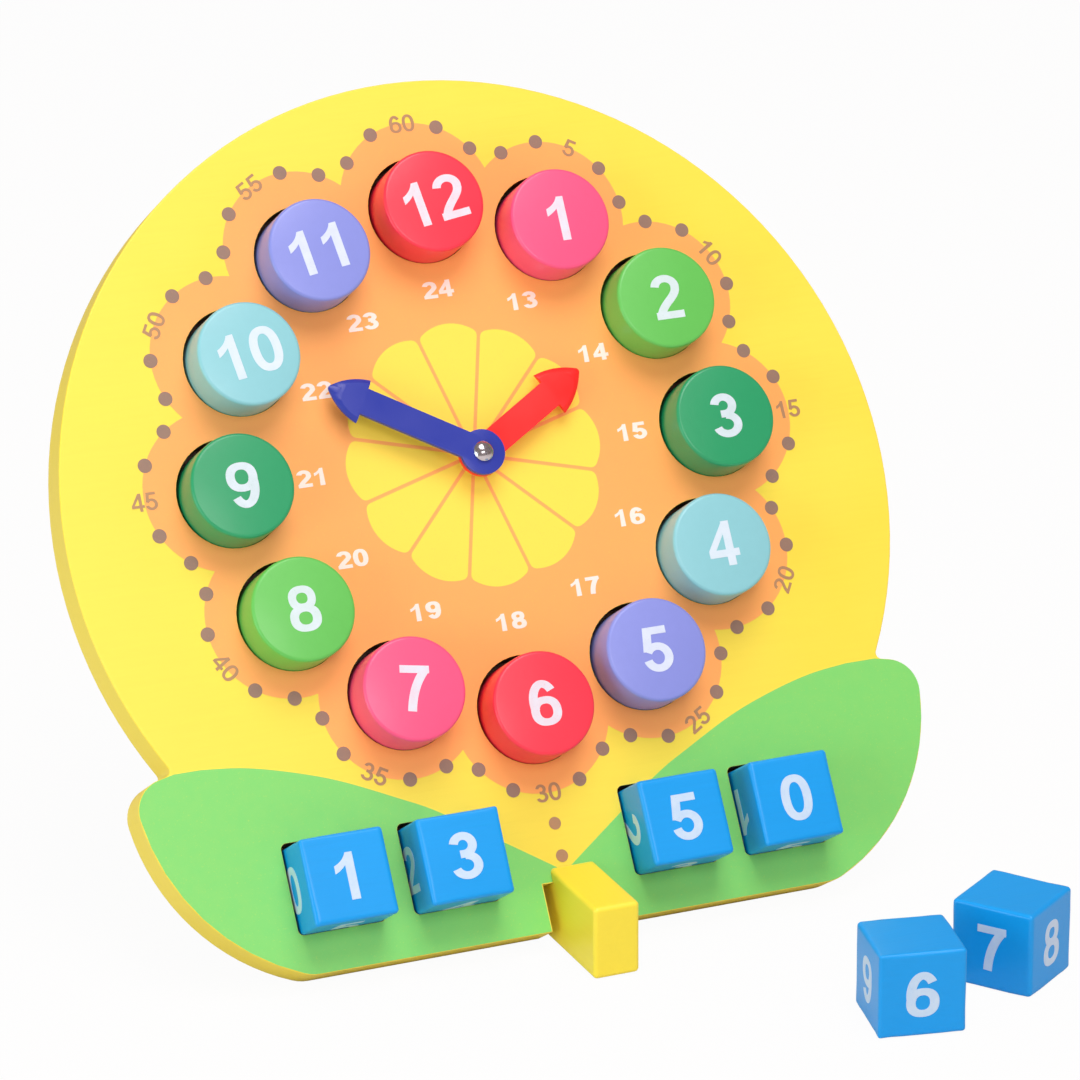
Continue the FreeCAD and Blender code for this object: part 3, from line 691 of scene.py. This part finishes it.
layer = {"sunk": -0.05, "flower": 0.05, "leaf": 0.05, "daisy": 0.09, "ink": 0.12}
discRing = {"radius": 85.9, "hole": 18.46}
flower = {"petals": 12, "centre": 88.0, "radius": 27.3, "steps": 26}
daisy = {"petals": 12, "tip": 45.2, "arcRadius": 15.4, "arcSteps": 14, "halfGap": 0.6,
         "cornerRound": 1.6, "cornerSteps": 4}
dots = {"Hours": 12, "Outer Ring": 113.2, "Inner Ring": 106.3, "Dot Radius": 2.4, "Dot Sides": 28}
colon = {"radius": 2.1, "places": (-125.6, -136.5), "steps": 28}
inked = {"low": layer["sunk"], "high": layer["ink"]}
minuteNumbers = dict(inked, radius=115.2, height=6.0, weight="thin", widen=1.0)
dayNumbers = dict(inked, radius=57.2, height=5.8, weight="bold", widen=1.28)


def clockPoint(radius, degrees, drop=0.0):
    angle = math.radians(degrees)
    return (radius * math.sin(angle), radius * math.cos(angle) - drop)


def inside(spot, loops):
    # even-odd test of a point against closed outlines
    odd = False
    for loop in loops:
        for (ax, ay), (bx, by) in zip(loop, loop[1:] + loop[:1]):
            if (ay > spot.y) != (by > spot.y) and spot.x < ax + (spot.y - ay) * (bx - ax) / (by - ay):
                odd = not odd
    return odd


def flatShape(loops, low, high):
    # a closed slab from an outline and the holes in it
    points = [Vector(point) for loop in loops for point in loop]
    ends, start = [], 0
    for loop in loops:
        count = len(loop)
        ends += [(start + i, start + (i + 1) % count) for i in range(count)]
        start += count
    spots, _, triangles, *_ = delaunay_2d_cdt(points, ends, [], 0, outlineWeld)
    build = bmesh.new()
    lower, upper = addLoops(build, (spots, low), (spots, high))
    walls = {}
    for triangle in triangles:
        middle = sum((spots[i] for i in triangle), Vector((0, 0))) / 3
        if not inside(middle, loops[:1]) or inside(middle, loops[1:]):
            continue
        build.faces.new([upper[i] for i in triangle])
        build.faces.new([lower[i] for i in reversed(triangle)])
        for edge in zip(triangle, triangle[1:] + triangle[:1]):
            if edge[::-1] in walls:
                del walls[edge[::-1]]
            else:
                walls[edge] = True
    for i, j in walls:
        build.faces.new((lower[i], lower[j], upper[j], upper[i]))
    loose = [vert for vert in build.verts if not vert.link_faces]
    bmesh.ops.delete(build, geom=loose, context="VERTS")
    return meshFrom(build, "flatShape")


def flowerMesh():
    # twelve round petals centred on the hours, with the disc holes cut through
    step = 360 / flower["petals"]
    meeting = math.acos(flower["centre"] * math.sin(math.radians(step / 2)) / flower["radius"])
    spread = 90 + step / 2 - math.degrees(meeting)
    outline = []
    for petal in range(flower["petals"]):
        cx, cy = clockPoint(flower["centre"], petal * step)
        for i in range(flower["steps"]):
            bearing = petal * step - spread + 2 * spread * i / flower["steps"]
            dx, dy = clockPoint(flower["radius"], bearing)
            outline.append((cx + dx, cy + dy))
    holes = [circle(*clockPoint(discRing["radius"], hour * hourStep, drilledDrop), discRing["hole"])
             for hour in range(12)]
    return flatShape([outline] + holes, layer["sunk"], layer["flower"])


def daisyPetal():
    # one petal pointing up: two straight sides and a round end
    half = math.pi / daisy["petals"]
    radius = daisy["arcRadius"]
    along = Vector((math.sin(half), math.cos(half)))
    inward = Vector((-math.cos(half), math.sin(half))) * daisy["halfGap"]
    centre = Vector((0, daisy["tip"] - radius))
    corner = inward + along * reachAlong(inward - centre, along, radius)
    bearing = math.atan2(corner.x - centre.x, corner.y - centre.y)
    cut = daisy["cornerRound"] / radius
    top = []
    for i in range(daisy["arcSteps"] + 1):
        angle = (bearing - cut) * (1 - 2 * i / daisy["arcSteps"])
        top.append((radius * math.sin(angle), centre.y + radius * math.cos(angle)))
    side = corner - along * daisy["cornerRound"]
    right = []
    for i in range(daisy["cornerSteps"]):
        t = i / daisy["cornerSteps"]
        right.append(tuple(side * (1 - t) ** 2 + corner * 2 * t * (1 - t) + Vector(top[0]) * t ** 2))
    left = [(-x, y) for x, y in right[::-1]]
    apex = (0, daisy["halfGap"] / math.sin(half))
    return flatShape([[apex] + right + top + left], layer["sunk"], layer["daisy"])


leaf = {"middle": 0.8, "arcX": 68.95, "arcDrop": 94.2, "arcRadius": 70.5, "bottom": -160.5,
        "tipRound": 11.0, "footRound": 14.0, "neckX": 125.05, "neckDrop": 89.0, "topFall": 12.0,
        "margin": 0.2, "notchMiddle": 1.1, "notchHalf": 9.9, "notchTop": -144.7, "notchMargin": 0.3,
        "squareDrop": 132.2, "squares": (39.0, 79.0), "squareHalf": 15.16, "squareRound": 2.0,
        "middleGap": 0.35, "middleDrop": 3.2, "curveSteps": 8,
        "topCurve": [(5.0, -138.3), (20.0, -128.1), (39.0, -115.3), (52.0, -108.5), (70.0, -100.0),
                     (86.0, -94.5), (101.0, -90.8), (115.0, -89.2)]}


def smoothLine(controls, steps):
    # a curve through all the control points
    points = [Vector(point) for point in controls]
    line = [tuple(points[0])]
    for i in range(len(points) - 1):
        start, end = points[i], points[i + 1]
        before, after = points[max(i - 1, 0)], points[min(i + 2, len(points) - 1)]
        for step in range(1, steps + 1):
            t = step / steps
            bend = (2 * start + (end - before) * t + (2 * before - 5 * start + 4 * end - after) * t ** 2
                    + (3 * start - before - 3 * end + after) * t ** 3) / 2
            line.append(tuple(bend))
    return line


def leafOutline(side):
    # one leaf: its outer side follows the board's edge, its upper edge is a long curve over the dial
    inset = leaf["margin"]
    centre = Vector((leaf["arcX"], -leaf["arcDrop"]))
    radius = leaf["arcRadius"] - inset
    bottom = leaf["bottom"] + inset
    fall = math.radians(leaf["topFall"])
    along = Vector((math.cos(fall), -math.sin(fall)))
    inward = Vector((-math.sin(fall), -math.cos(fall)))
    neck = Vector((leaf["neckX"], -leaf["neckDrop"])) + inward * inset
    tip, heel = leaf["tipRound"] - inset, leaf["footRound"] - inset
    base = neck + inward * tip - centre
    tipCentre = centre + base + along * reachAlong(base, along, radius - tip)
    rise = bottom + heel - centre.y
    heelCentre = centre + Vector((math.sqrt((radius - heel) ** 2 - rise ** 2), rise))
    heelAngle, tipAngle = (math.degrees(math.atan2(point.y - centre.y, point.x - centre.x))
                           for point in (heelCentre, tipCentre))
    edge = arc(*heelCentre, heel, heel, -90, heelAngle)
    edge += arc(*centre, radius, radius, heelAngle, tipAngle)[1:]
    edge += arc(*tipCentre, tip, tip, tipAngle, 90 - leaf["topFall"])[1:]
    edge.append(tuple(neck))
    outer = [(x * side + leaf["middle"], y) for x, y in edge]
    curve = [(x * side, y) for x, y in smoothLine(leaf["topCurve"], leaf["curveSteps"])]
    notch = leaf["notchMiddle"] + side * (leaf["notchHalf"] + leaf["notchMargin"])
    ceiling = leaf["notchTop"] + leaf["notchMargin"]
    gap = leaf["middleGap"] * side
    return ([(gap, ceiling), (notch, ceiling), (notch, bottom)] + outer + curve[::-1]
            + [(gap, leaf["topCurve"][0][1] - leaf["middleDrop"])])


def roundedSquare(cx, cy, half, corner):
    points = []
    for quarter, (sx, sy) in enumerate(((1, 1), (-1, 1), (-1, -1), (1, -1))):
        points += arc(cx + sx * (half - corner), cy + sy * (half - corner), corner, corner,
                      90 * quarter, 90 * quarter + 90)
    return points


def leavesMesh():
    build = bmesh.new()
    for side in (-1, 1):
        holes = [roundedSquare(side * x, -leaf["squareDrop"], leaf["squareHalf"], leaf["squareRound"])
                 for x in leaf["squares"]]
        mesh = flatShape([leafOutline(side)] + holes, layer["sunk"], layer["leaf"])
        build.from_mesh(mesh)
        bpy.data.meshes.remove(mesh)
    return meshFrom(build, "leaves")


def minuteNumbersMesh():
    # every fifth minute; the quarters stand upright, the others lean along the track
    build = bmesh.new()
    for minutes in range(5, 65, 5):
        bearing = minutes * minuteStep
        lean = (bearing + 90) % 180 - 90 if minutes % 15 else 0
        place = moved(*clockPoint(minuteNumbers["radius"], bearing)) @ turned(-lean)
        addNumber(build, str(minutes), place, minuteNumbers)
    for y in colon["places"]:
        addPrism(build, circle(0, y, colon["radius"], colon["steps"]), layer["sunk"], layer["ink"])
    return meshFrom(build, "minuteNumbers")


def dayNumbersMesh():
    # 13 to 24 inside the ring of discs
    build = bmesh.new()
    for hour in range(1, 13):
        place = moved(*clockPoint(dayNumbers["radius"], hour * hourStep))
        addNumber(build, str(hour + 12), place, dayNumbers)
    return meshFrom(build, "dayNumbers")


def addBoardPrint():
    petals = grownMesh("daisyPetals", daisyPetal(), petalTree(),
                       {"Petals": daisy["petals"], "Material": inks["yellowDaisyInk"]})
    dotValues = dict(dots, Thickness=layer["ink"] - layer["sunk"],
                     Level=(layer["ink"] + layer["sunk"]) / 2, Material=inks["greyDotInk"])
    dotRing = grownMesh("minuteDotRing", bpy.data.meshes.new("empty"), minuteDotTree(), dotValues)
    prints = [("flower_print", flowerMesh(), "orangeFlowerInk", "flower_orange_print"),
              ("leaf_print", leavesMesh(), "greenLeafInk", "leaf_green_print"),
              ("daisy_print", petals, "yellowDaisyInk", "daisy_yellow_print"),
              ("minute_dots", dotRing, "greyDotInk", "grey_print"),
              ("minute_numbers", minuteNumbersMesh(), "greyFigureInk", "grey_print"),
              ("day_numbers", dayNumbersMesh(), "whiteDayInk", "white_print")]
    for name, mesh, ink, slotName in prints:
        addPiece(name, mesh, board, inks[ink], "clock_board")


addBoardPrint()
print("board print added")


# Loose discs

disc = {"radius": 17.5, "height": 26.0, "edgeRound": 1.2, "roundSteps": 4, "turns": 96}
discFinish = {"stretch": (300, 300, 300), "drift": 0.06, "coat": 0.3}
discNumbers = {"height": 15.2, "low": -0.04, "high": 0.09, "weight": "plain", "widen": 1.0}
discInk = {"ink": linear(217, 235, 246), "thinness": 0.3}
discPaints = {"pink": (linear(245, 84, 132), "disc_pink"),      # from one o'clock, twice round the dial
              "lightGreen": (linear(96, 197, 86), "disc_light_green"),
              "darkGreen": (linear(27, 158, 101), "disc_dark_green"),
              "lightBlue": (linear(133, 204, 212), "disc_light_blue"),
              "violet": (linear(131, 146, 224), "disc_violet"),
              "red": (linear(247, 51, 74), "disc_red")}
discTurns = {7: -10.0, 10: 8.0, 11: 8.0, 12: 8.0}       # degrees anticlockwise from upright


def discMesh():
    # a turned disc centred on its own middle, with softly rounded rims
    r, half, soft = disc["radius"], disc["height"] / 2, disc["edgeRound"]
    angles = [math.pi / 2 * i / disc["roundSteps"] for i in range(disc["roundSteps"] + 1)]
    rim = [(r - soft + soft * math.sin(a), half - soft + soft * math.cos(a)) for a in angles]
    profile = rim + [(x, -z) for x, z in rim[::-1]]
    build = bmesh.new()
    loops = addLoops(build, *((circle(0, 0, x, disc["turns"]), z) for x, z in profile))
    for upper, lower in zip(loops, loops[1:]):
        joinLoops(build, upper, lower)
    for loop, z in ((loops[0], half), (loops[-1], -half)):
        pole = build.verts.new((0, 0, z))
        for pair in zip(loop, loop[1:] + loop[:1]):
            build.faces.new((pole, *pair))
    return meshFrom(build, "disc")


def addDiscs():
    finishes = []
    for name, (colour, slotName) in discPaints.items():
        paint = paintMaterial(f"{name}DiscPaint", colour, **discFinish)
        ink = printMaterial(f"white{name[0].upper()}{name[1:]}DiscInk", ground=colour, **discInk)
        finishes.append((paint, ink, slotName))
    plainDisc = discMesh()
    for hour in range(1, 13):
        paint, ink, slotName = finishes[(hour - 1) % len(finishes)]
        node = f"hour_disc_{hour:02d}"
        place = board @ moved(*(intoBoard @ nodeCentre(node)))
        piece = addPiece(f"disc_{hour:02d}", plainDisc.copy(), place, paint, node)
        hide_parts(node)
        build = bmesh.new()
        face = moved(0, 0, disc["height"] / 2) @ turned(discTurns.get(hour, 0.0))
        addNumber(build, str(hour), face, discNumbers)
        addPiece(f"disc_number_{hour:02d}", meshFrom(build, "number"), place, ink, node)


addDiscs()
print("discs added")


# Number cubes

cubeNumbers = {"height": 15.4, "low": -0.04, "high": 0.08, "weight": "plain", "widen": 1.0}
cube = {"size": 28.5, "round": 1.25, "roundDrift": 0.6, "driftScale": 0.16,
        "driftStep": Vector((7.3, 3.1, 0)), "smoothAngle": 60,
        "steps": (0.0, 0.25, 0.55, 0.9, 1.3, 1.8, 2.6, 4.5, 8.0)}      # steps: distances in from an edge
cubeFaces = {"front": ((1, 0, 0), (0, 1, 0)), "left": ((0, 0, 1), (0, 1, 0)),      # right and up
             "right": ((0, 0, -1), (0, 1, 0)), "back": ((-1, 0, 0), (0, 1, 0)),
             "top": ((1, 0, 0), (0, 0, -1)), "bottom": ((1, 0, 0), (0, 0, 1))}
cubeDigits = {"board_cube_1": "102345", "board_cube_2": "320154",      # in the order of cubeFaces
              "board_cube_3": "521403", "board_cube_4": "014235",
              "spare_cube_1": "6978", "spare_cube_2": "8796"}
numberTurns = {("board_cube_3", "left"): -90.0, ("board_cube_4", "left"): 180.0}      # anticlockwise
spareTurns = {"spare_cube_1": -11.9, "spare_cube_2": 35.3}       # degrees anticlockwise from above


def faceTurn(face):
    right, up = (Vector(axis) for axis in cubeFaces[face])
    return axesMatrix(right, up, right.cross(up))


def cubeMesh(seed):
    # a block whose hand-sanded edges vary a little in roundness
    half = cube["size"] / 2
    inner = [step - half for step in cube["steps"]]
    lines = inner + [-value for value in inner[::-1]]
    build = bmesh.new()
    for face in cubeFaces:
        turn = faceTurn(face)
        grid = [[build.verts.new(turn @ Vector((x, y, half))) for x in lines] for y in lines]
        for low, high in zip(grid, grid[1:]):
            for i in range(len(lines) - 1):
                build.faces.new((low[i], low[i + 1], high[i + 1], high[i]))
    bmesh.ops.remove_doubles(build, verts=build.verts, dist=weld)
    for vert in build.verts:
        wander = noise.noise(vert.co * cube["driftScale"] + cube["driftStep"] * seed)
        soft = cube["round"] + cube["roundDrift"] * wander
        core = Vector([max(soft - half, min(half - soft, value)) for value in vert.co])
        vert.co = core + (vert.co - core).normalized() * soft
    return meshFrom(build, "cube")


def addCubes():
    for seed, (node, digits) in enumerate(cubeDigits.items()):
        if node in spareTurns:
            place = moved(*nodeCentre(node)) @ turned(spareTurns[node])
            place = place @ Matrix.Rotation(math.pi / 2, 4, "X") @ Matrix.Scale(millimetre, 4)
        else:
            place = board @ moved(*(intoBoard @ nodeCentre(node)))
        piece = addPiece(f"{node}_block", cubeMesh(seed), place, cubeBlue, node,
                         cube["smoothAngle"])
        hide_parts(node)
        build = bmesh.new()
        for face, digit in zip(cubeFaces, digits):
            surface = faceTurn(face) @ moved(0, 0, cube["size"] / 2)
            surface = surface @ turned(numberTurns.get((node, face), 0.0))
            addNumber(build, digit, surface, cubeNumbers)
        addPiece(f"{node}_numbers", meshFrom(build, "numbers"), place, inks["whiteCubeInk"], node)


addCubes()
print("cubes added")


# Hands

hand = {"thick": 1.7, "hub": 7.65, "hubSteps": 48, "armStart": 1.0, "armOverlap": 1.5, "headBulge": 1.15,
        "headRim": 0.75, "tipRound": 1.25, "tipStart": 32, "sideSteps": 10, "slope": 1.7,
        "slopeAtTip": 3.0, "edge": 0.4, "edgeSegments": 3, "edgeAngle": 26}
handPlaces = {"minute_hand": {"length": 55.9, "armHalf": 4.55, "headHalf": 7.8, "headLength": 12.6,
                              "bearing": -58.9, "level": 7.0, "material": plastics["blueHandPlastic"],
                              "body": "minute_works", "slot": "minute_hand_blue"},
              "hour_hand": {"length": 47.1, "armHalf": 4.8, "headHalf": 8.1, "headLength": 13.8,
                            "bearing": 60.0, "level": 5.0, "material": plastics["redHandPlastic"],
                            "body": "hour_works", "slot": "hour_hand_red"}}


def headOutline(half, base, tip):
    # an arrow head with bowed sides and a rounded point, anticlockwise from its left barb
    soft = hand["tipRound"]
    nose = arc(0, tip - soft, soft, soft, hand["tipStart"], 90)
    start, end = Vector((half, base)), Vector(nose[0])
    bow = Vector((end.y - start.y, start.x - end.x)).normalized() * hand["headBulge"]
    side = []
    for i in range(hand["sideSteps"]):
        t = i / hand["sideSteps"]
        side.append(tuple(start.lerp(end, t) + bow * 4 * t * (1 - t)))
    right = side + nose
    return [(-half, base)] + right + [(-x, y) for x, y in right[1:-1][::-1]]


def headBuild(values):
    # walls up to the rim, then flanks that slope up to a flat top level with the arm
    tip = values["length"]
    base = tip - values["headLength"]
    wide = headOutline(values["headHalf"], base, tip)
    narrow = headOutline(values["headHalf"] - hand["slope"], base, tip - hand["slopeAtTip"])
    build = bmesh.new()
    loops = addLoops(build, (wide, 0.0), (wide, hand["headRim"]), (narrow, hand["thick"]))
    build.faces.new(loops[0][::-1])
    build.faces.new(loops[-1])
    for lower, upper in zip(loops, loops[1:]):
        joinLoops(build, lower, upper)
    return build


def handMesh(values):
    half = values["armHalf"]
    start, end = hand["armStart"], values["length"] - values["headLength"] + hand["armOverlap"]
    disk = slab(circle(0, 0, hand["hub"], hand["hubSteps"]))
    arm = slab([(-half, start), (half, start), (half, end), (-half, end)])
    for build in (disk, arm):
        bmesh.ops.scale(build, vec=(1, 1, hand["thick"]), verts=build.verts)
    holder = newObject("handHolder", unite([disk, arm, headBuild(values)], "hand"))
    soften = holder.modifiers.new("soften", "BEVEL")
    soften.width = hand["edge"]
    soften.segments = hand["edgeSegments"]
    soften.limit_method = "ANGLE"
    soften.angle_limit = math.radians(hand["edgeAngle"])
    soften.use_clamp_overlap = True
    return finishedMesh(holder)


def addHands():
    for node, values in handPlaces.items():
        place = board @ moved(0, -drilledDrop, values["level"]) @ turned(-values["bearing"])
        piece = addPiece(f"{node}_moulding", handMesh(values), place, values["material"], values["body"])
        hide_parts(node)


addHands()
print("hands added")


# Floor, light and camera

studio = {"floorReach": 8.0, "floorDrop": 0.0002, "floorColour": (0.68, 0.67, 0.65, 1),
          "floorRoughness": 0.9, "floorGlow": 0.96, "worldColour": (1.26, 0.98, 0.93, 1),
          "worldStrength": 0.43, "mirroredStrength": 0.2}
white = {"Color": (1, 1, 1, 1), "Strength": 1.0}
lampColours = {"warm": (1.1, 1.0, 1.03), "cool": (0.84, 1.0, 1.03)}
lamps = {"topBox": {"colour": "warm", "spot": (0.05, -0.55, 1.85), "size": 1.2, "power": 17.5},
         "leftBox": {"colour": "cool", "spot": (-1.5, 0.15, 0.55), "size": 1.2, "power": 1.6},
         "lowLeftBox": {"colour": "cool", "spot": (-1.2, -0.5, 0.22), "size": 0.8, "power": 5.5},
         "frontBox": {"colour": "warm", "spot": (-0.05, -1.05, 0.8), "size": 0.5, "power": 3.2}}
lampTarget = Vector((0.0, -0.02, 0.12))
viewpoint = {"spot": (-0.6214, -1.5124, 0.70343), "azimuth": 23.095, "elevation": 19.831, "roll": -0.431,
             "lens": 173.98, "sensor": 36.0}


def mixShaders(tree, share, first, second, target):
    mix = addNode(tree, "ShaderNodeMixShader", {0: share, 1: first.outputs[0], 2: second.outputs[0]})
    feed(tree, tree.nodes[target], {"Surface": mix.outputs[0]})


def addFloor():
    reach = studio["floorReach"]
    build = bmesh.new()
    square = [(-reach, -reach), (reach, -reach), (reach, reach), (-reach, reach)]
    build.faces.new(*addLoops(build, (square, -studio["floorDrop"])))
    floor = newObject("studio_floor", meshFrom(build, "studioFloor"))
    material, tree, shader = newMaterial("paleFloor", Base_Color=studio["floorColour"],
                                         Roughness=studio["floorRoughness"], Specular_IOR_Level=0.0)
    path = tree.nodes.new("ShaderNodeLightPath").outputs
    share = maths(tree, "MULTIPLY", path["Is Camera Ray"], studio["floorGlow"])
    mixShaders(tree, share, shader, addNode(tree, "ShaderNodeEmission", white), "Material Output")
    floor.data.materials.append(material)


def addWorld():
    world = bpy.data.worlds.new("studioWorld")
    bpy.context.scene.world = world
    world.use_nodes = True
    tree = world.node_tree
    soft = tree.nodes["Background"]
    soft.inputs["Color"].default_value = studio["worldColour"]
    path = tree.nodes.new("ShaderNodeLightPath").outputs
    feed(tree, soft, {"Strength": ranged(tree, path["Is Glossy Ray"], studio["worldStrength"],
                                         studio["mirroredStrength"])})
    mixShaders(tree, path["Is Camera Ray"], soft, addNode(tree, "ShaderNodeBackground", white),
               "World Output")


def addLamps():
    for name, values in lamps.items():
        light = bpy.data.lights.new(name, "AREA")
        light.shape = "DISK"
        light.size = values["size"]
        light.energy = values["power"]
        light.color = lampColours[values["colour"]]
        lamp = newObject(name, light)
        lamp.location = values["spot"]
        lamp.rotation_euler = (lampTarget - lamp.location).to_track_quat("-Z", "Y").to_euler()


def addCamera():
    a, e, roll = (math.radians(viewpoint[key]) for key in ("azimuth", "elevation", "roll"))
    back = Vector((-math.sin(a) * math.cos(e), -math.cos(a) * math.cos(e), math.sin(e)))
    level = Vector((math.cos(a), -math.sin(a), 0))
    rise = back.cross(level)
    right = level * math.cos(roll) + rise * math.sin(roll)
    up = rise * math.cos(roll) - level * math.sin(roll)
    data = bpy.data.cameras.new("mainCamera")
    data.lens = viewpoint["lens"]
    data.sensor_width = viewpoint["sensor"]
    camera = newObject("mainCamera", data)
    camera.matrix_world = moved(*viewpoint["spot"]) @ axesMatrix(right, up, back)
    bpy.context.scene.camera = camera


addFloor()
addWorld()
addLamps()
addCamera()
bpy.context.scene.view_settings.view_transform = "Standard"
print("studio added")
